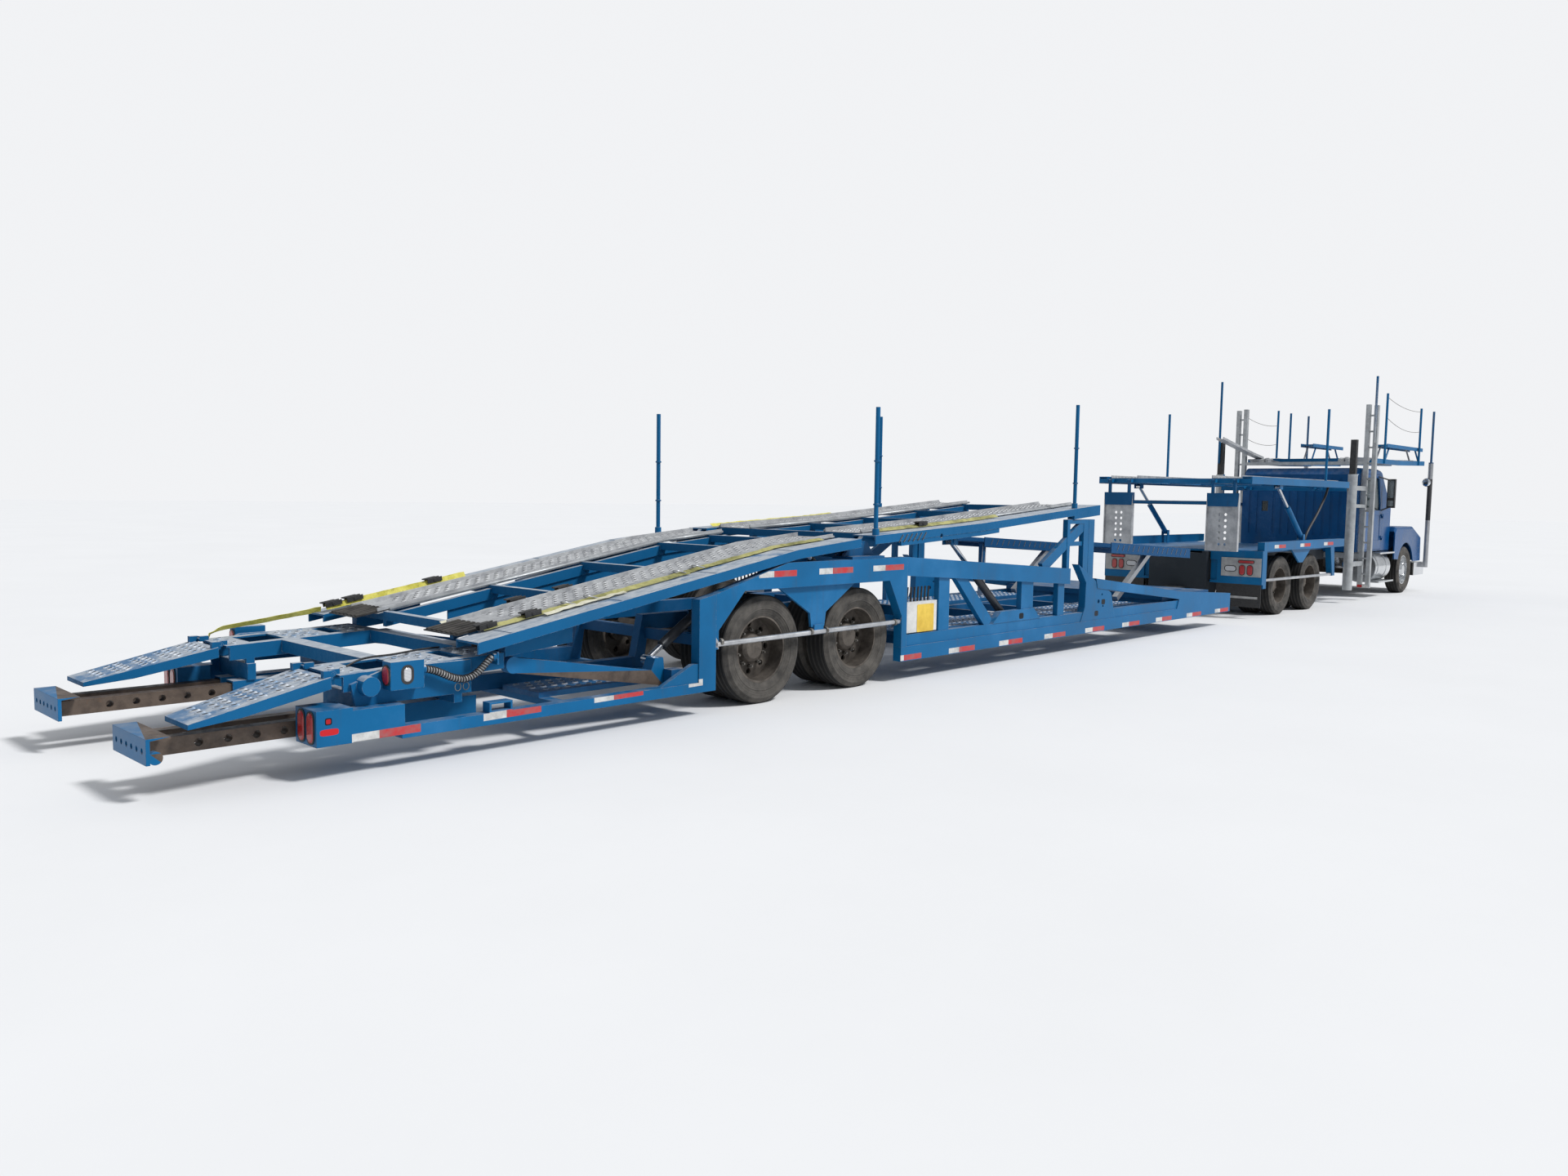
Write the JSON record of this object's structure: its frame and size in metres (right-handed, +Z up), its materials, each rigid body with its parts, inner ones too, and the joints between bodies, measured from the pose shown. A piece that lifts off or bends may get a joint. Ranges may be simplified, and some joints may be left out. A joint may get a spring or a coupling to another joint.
{
  "type": "articulated car transporter truck",
  "caption": "Articulated car transporter: hooded tractor with stinger, masts and decks, and a low two-level trailer with lifting decks, flip ramps and pull-out skids.",
  "frame": {"origin": "middle of the whole rig on the ground between the tyres", "axes": "+X forward, +Y to the left, +Z up; the trailer is at -X"},
  "size_m": [24.38, 2.59, 4.08],
  "materials": {
    "frame_blue": "gloss blue paint, worn at edges and dusty",
    "rail_worn": "blue paint worn to grey steel by tyres and chains",
    "track_steel": "pierced wheel track, silver with rust in the slots",
    "chassis_dark": "dark chassis paint",
    "tyre": "ribbed black rubber with grey dust",
    "axle_iron": "cast axle housings, oily and dusty",
    "skid_steel": "bare steel rail with rust",
    "cylinder_blue": "painted hydraulic barrel",
    "rod_chrome": "hard chrome rod",
    "cab_blue": "gloss blue cab paint",
    "glass": "tinted safety glass",
    "cab_trim": "grey moulded trim and seat cloth",
    "tank_alloy": "polished aluminium tank",
    "bumper_chrome": "bright bumper",
    "mast_silver": "silver mast profile",
    "post_blue": "blue tube",
    "valve_white": "white panel over a dark valve block",
    "engine_iron": "plain engine block",
    "hose_rubber": "spiral wrapped hose"
  },
  "bodies": {
    "tractor": {"tractor_frame": "chassis_dark", "tractor_rear_body": "frame_blue", "tractor_axles": "axle_iron", "engine": "engine_iron", "tanks_steps": "tank_alloy", "cab_shell": "cab_blue", "cab_glass": "glass", "cab_inside": "cab_trim", "bumper": "bumper_chrome", "masts": "mast_silver", "rack_posts": "post_blue"},
    "trailer": {"trailer_axles": "axle_iron", "trailer_sills": "frame_blue", "trailer_towers": "frame_blue", "trailer_wheel_wells": "frame_blue", "trailer_rear_frame": "frame_blue", "trailer_spine": "frame_blue", "trailer_floor_tracks": "track_steel", "trailer_neck": "frame_blue", "trailer_tail_frame": "frame_blue", "deck_brackets": "frame_blue", "nose_ramps": "track_steel", "valve_box": "valve_white", "tail_hose": "hose_rubber"},
    "rear_deck": {"rear_deck_frame": "rail_worn", "rear_deck_tracks": "track_steel"},
    "front_deck": {"front_deck_frame": "rail_worn", "front_deck_tracks": "track_steel"},
    "lift_arms": {"rear_lift_arms": "frame_blue"},
    "rear_barrels": {"rear_lift_barrels": "cylinder_blue"},
    "rear_rods": {"rear_lift_rods": "rod_chrome"},
    "front_barrels": {"front_lift_barrels": "cylinder_blue"},
    "front_rods": {"front_lift_rods": "rod_chrome"},
    "upper_barrels": {"upper_lift_barrels": "cylinder_blue"},
    "upper_rods": {"upper_lift_rods": "rod_chrome"},
    "upper_deck": {"upper_deck_frame": "rail_worn", "upper_deck_tracks": "track_steel"},
    "deck_ramps": {"upper_deck_ramps": "track_steel"},
    "over_deck": {"over_cab_deck": "rail_worn"},
    "hood_body": {"hood": "cab_blue"},
    "door_left_body": {"door_left": "cab_blue", "door_glass_left": "glass"},
    "skid_left_body": {"skid_left": "skid_steel"},
    "flip_left": {"flip_ramp_left": "track_steel"},
    "knuckle_left_body": {"knuckle_left": "axle_iron"},
    "front_wheel_left_body": {"front_wheel_left": "tyre"},
    "door_right_body": {"door_right": "cab_blue", "door_glass_right": "glass"},
    "skid_right_body": {"skid_right": "skid_steel"},
    "flip_right": {"flip_ramp_right": "track_steel"},
    "knuckle_right_body": {"knuckle_right": "axle_iron"},
    "front_wheel_right_body": {"front_wheel_right": "tyre"},
    "trailer_wheel_rear_left_body": {"trailer_wheel_rear_left": "tyre"},
    "trailer_wheel_rear_right_body": {"trailer_wheel_rear_right": "tyre"},
    "trailer_wheel_front_left_body": {"trailer_wheel_front_left": "tyre"},
    "trailer_wheel_front_right_body": {"trailer_wheel_front_right": "tyre"},
    "drive_wheel_rear_left_body": {"drive_wheel_rear_left": "tyre"},
    "drive_wheel_rear_right_body": {"drive_wheel_rear_right": "tyre"},
    "drive_wheel_front_left_body": {"drive_wheel_front_left": "tyre"},
    "drive_wheel_front_right_body": {"drive_wheel_front_right": "tyre"}
  },
  "joints": [
    {"name": "trailer_turn", "type": "hinge", "parent": "tractor", "child": "trailer", "pos_m": [1.24, 0, 0.4], "axis": [0, 0, 1], "range_deg": [-45, 45]},
    {"name": "trailer_wheel_rear_left_spin", "type": "hinge", "parent": "trailer", "child": "trailer_wheel_rear_left_body", "pos_m": [-7.4225, 0.912, 0.464], "axis": [0, 1, 0], "continuous": true},
    {"name": "trailer_wheel_rear_right_spin", "type": "hinge", "parent": "trailer", "child": "trailer_wheel_rear_right_body", "pos_m": [-7.4225, -0.912, 0.464], "axis": [0, 1, 0], "continuous": true},
    {"name": "trailer_wheel_front_left_spin", "type": "hinge", "parent": "trailer", "child": "trailer_wheel_front_left_body", "pos_m": [-6.1775, 0.912, 0.464], "axis": [0, 1, 0], "continuous": true},
    {"name": "trailer_wheel_front_right_spin", "type": "hinge", "parent": "trailer", "child": "trailer_wheel_front_right_body", "pos_m": [-6.1775, -0.912, 0.464], "axis": [0, 1, 0], "continuous": true},
    {"name": "drive_wheel_rear_left_spin", "type": "hinge", "parent": "tractor", "child": "drive_wheel_rear_left_body", "pos_m": [4.24, 0.912, 0.464], "axis": [0, 1, 0], "continuous": true},
    {"name": "drive_wheel_rear_right_spin", "type": "hinge", "parent": "tractor", "child": "drive_wheel_rear_right_body", "pos_m": [4.24, -0.912, 0.464], "axis": [0, 1, 0], "continuous": true},
    {"name": "drive_wheel_front_left_spin", "type": "hinge", "parent": "tractor", "child": "drive_wheel_front_left_body", "pos_m": [5.56, 0.912, 0.464], "axis": [0, 1, 0], "continuous": true},
    {"name": "drive_wheel_front_right_spin", "type": "hinge", "parent": "tractor", "child": "drive_wheel_front_right_body", "pos_m": [5.56, -0.912, 0.464], "axis": [0, 1, 0], "continuous": true},
    {"name": "steer_left", "type": "hinge", "parent": "tractor", "child": "knuckle_left_body", "pos_m": [10.94, 0.88, 0.464], "axis": [0, 0, 1], "range_deg": [-35, 35]},
    {"name": "front_wheel_left_spin", "type": "hinge", "parent": "knuckle_left_body", "child": "front_wheel_left_body", "pos_m": [10.94, 1.03, 0.464], "axis": [0, 1, 0], "continuous": true},
    {"name": "door_left_open", "type": "hinge", "parent": "tractor", "child": "door_left_body", "pos_m": [9.655, 1.074, 1.14], "axis": [0, 0, -1], "range_deg": [0, 65]},
    {"name": "skid_left_slide", "type": "slide", "parent": "trailer", "child": "skid_left_body", "axis": [1, 0, 0], "range_m": [0, 0.7]},
    {"name": "flip_left_turn", "type": "hinge", "parent": "trailer", "child": "flip_left", "pos_m": [-11.13, 0.9, 0.634], "axis": [0, 1, 0], "range_deg": [0, 165]},
    {"name": "steer_right", "type": "hinge", "parent": "tractor", "child": "knuckle_right_body", "pos_m": [10.94, -0.88, 0.464], "axis": [0, 0, 1], "range_deg": [-35, 35]},
    {"name": "front_wheel_right_spin", "type": "hinge", "parent": "knuckle_right_body", "child": "front_wheel_right_body", "pos_m": [10.94, -1.03, 0.464], "axis": [0, 1, 0], "continuous": true},
    {"name": "door_right_open", "type": "hinge", "parent": "tractor", "child": "door_right_body", "pos_m": [9.655, -1.074, 1.14], "axis": [0, 0, 1], "range_deg": [0, 65]},
    {"name": "skid_right_slide", "type": "slide", "parent": "trailer", "child": "skid_right_body", "axis": [1, 0, 0], "range_m": [0, 0.7]},
    {"name": "flip_right_turn", "type": "hinge", "parent": "trailer", "child": "flip_right", "pos_m": [-11.13, -0.9, 0.634], "axis": [0, 1, 0], "range_deg": [0, 165]},
    {"name": "hood_open", "type": "hinge", "parent": "tractor", "child": "hood_body", "pos_m": [11.972, 0, 0.604], "axis": [0, 1, 0], "range_deg": [0, 35]},
    {"name": "over_deck_lift", "type": "hinge", "parent": "tractor", "child": "over_deck", "pos_m": [8.5, 0, 2.6], "axis": [0, -1, 0], "range_deg": [0, 8]},
    {"name": "upper_deck_lift", "type": "hinge", "parent": "tractor", "child": "upper_deck", "pos_m": [7.24, 0, 2.06], "axis": [0, 1, 0], "range_deg": [-4, 6]},
    {"name": "deck_ramps_swing", "type": "hinge", "parent": "upper_deck", "child": "deck_ramps", "pos_m": [2.73, 0, 2.08], "axis": [0, 1, 0], "range_deg": [0, 90]},
    {"name": "rear_deck_lift", "type": "hinge", "parent": "trailer", "child": "rear_deck", "pos_m": [-6.22, 0, 1.33], "axis": [0, 1, 0], "range_deg": [0, 12]},
    {"name": "lift_arms_turn", "type": "hinge", "parent": "trailer", "child": "lift_arms", "pos_m": [-8.42, 0, 0.312], "axis": [0, 1, 0], "range_deg": [0, 32.4]},
    {"name": "rear_barrel_turn", "type": "hinge", "parent": "trailer", "child": "rear_barrels", "pos_m": [-8.01, 0, 0.79], "axis": [0, 1, 0], "range_deg": [-2.36, 0]},
    {"name": "rear_rod_slide", "type": "slide", "parent": "rear_barrels", "child": "rear_rods", "axis": [-0.8396, 0, -0.5433], "range_m": [-0.097, 0]},
    {"name": "front_deck_lift", "type": "hinge", "parent": "trailer", "child": "front_deck", "pos_m": [-6.1, 0, 1.33], "axis": [0, -1, 0], "range_deg": [0, 10]},
    {"name": "front_barrel_turn", "type": "hinge", "parent": "trailer", "child": "front_barrels", "pos_m": [-3.66, 0, 0.52], "axis": [0, 1, 0], "range_deg": [0, 7.4]},
    {"name": "front_rod_slide", "type": "slide", "parent": "front_barrels", "child": "front_rods", "axis": [-0.7771, 0, 0.6294], "range_m": [0, 0.1801]},
    {"name": "upper_barrel_turn", "type": "hinge", "parent": "tractor", "child": "upper_barrels", "pos_m": [5.1, 0, 1.225], "axis": [0, 1, 0], "range_deg": [-7.34, 11.01]},
    {"name": "upper_rod_slide", "type": "slide", "parent": "upper_barrels", "child": "upper_rods", "axis": [-0.8071, 0, 0.5904], "range_m": [-0.1385, 0.2077]}
  ],
  "couplings": [
    {"joint": "steer_right", "follows": "steer_left", "ratio": 1},
    {"joint": "lift_arms_turn", "follows": "rear_deck_lift", "ratio": 2.7},
    {"joint": "rear_barrel_turn", "follows": "rear_deck_lift", "ratio": -0.1968},
    {"joint": "rear_rod_slide", "follows": "rear_deck_lift", "m_per_rad": -0.4633},
    {"joint": "front_barrel_turn", "follows": "front_deck_lift", "ratio": 0.7399},
    {"joint": "front_rod_slide", "follows": "front_deck_lift", "m_per_rad": 1.0317},
    {"joint": "upper_barrel_turn", "follows": "upper_deck_lift", "ratio": 1.8347},
    {"joint": "upper_rod_slide", "follows": "upper_deck_lift", "m_per_rad": 1.9834}
  ]
}
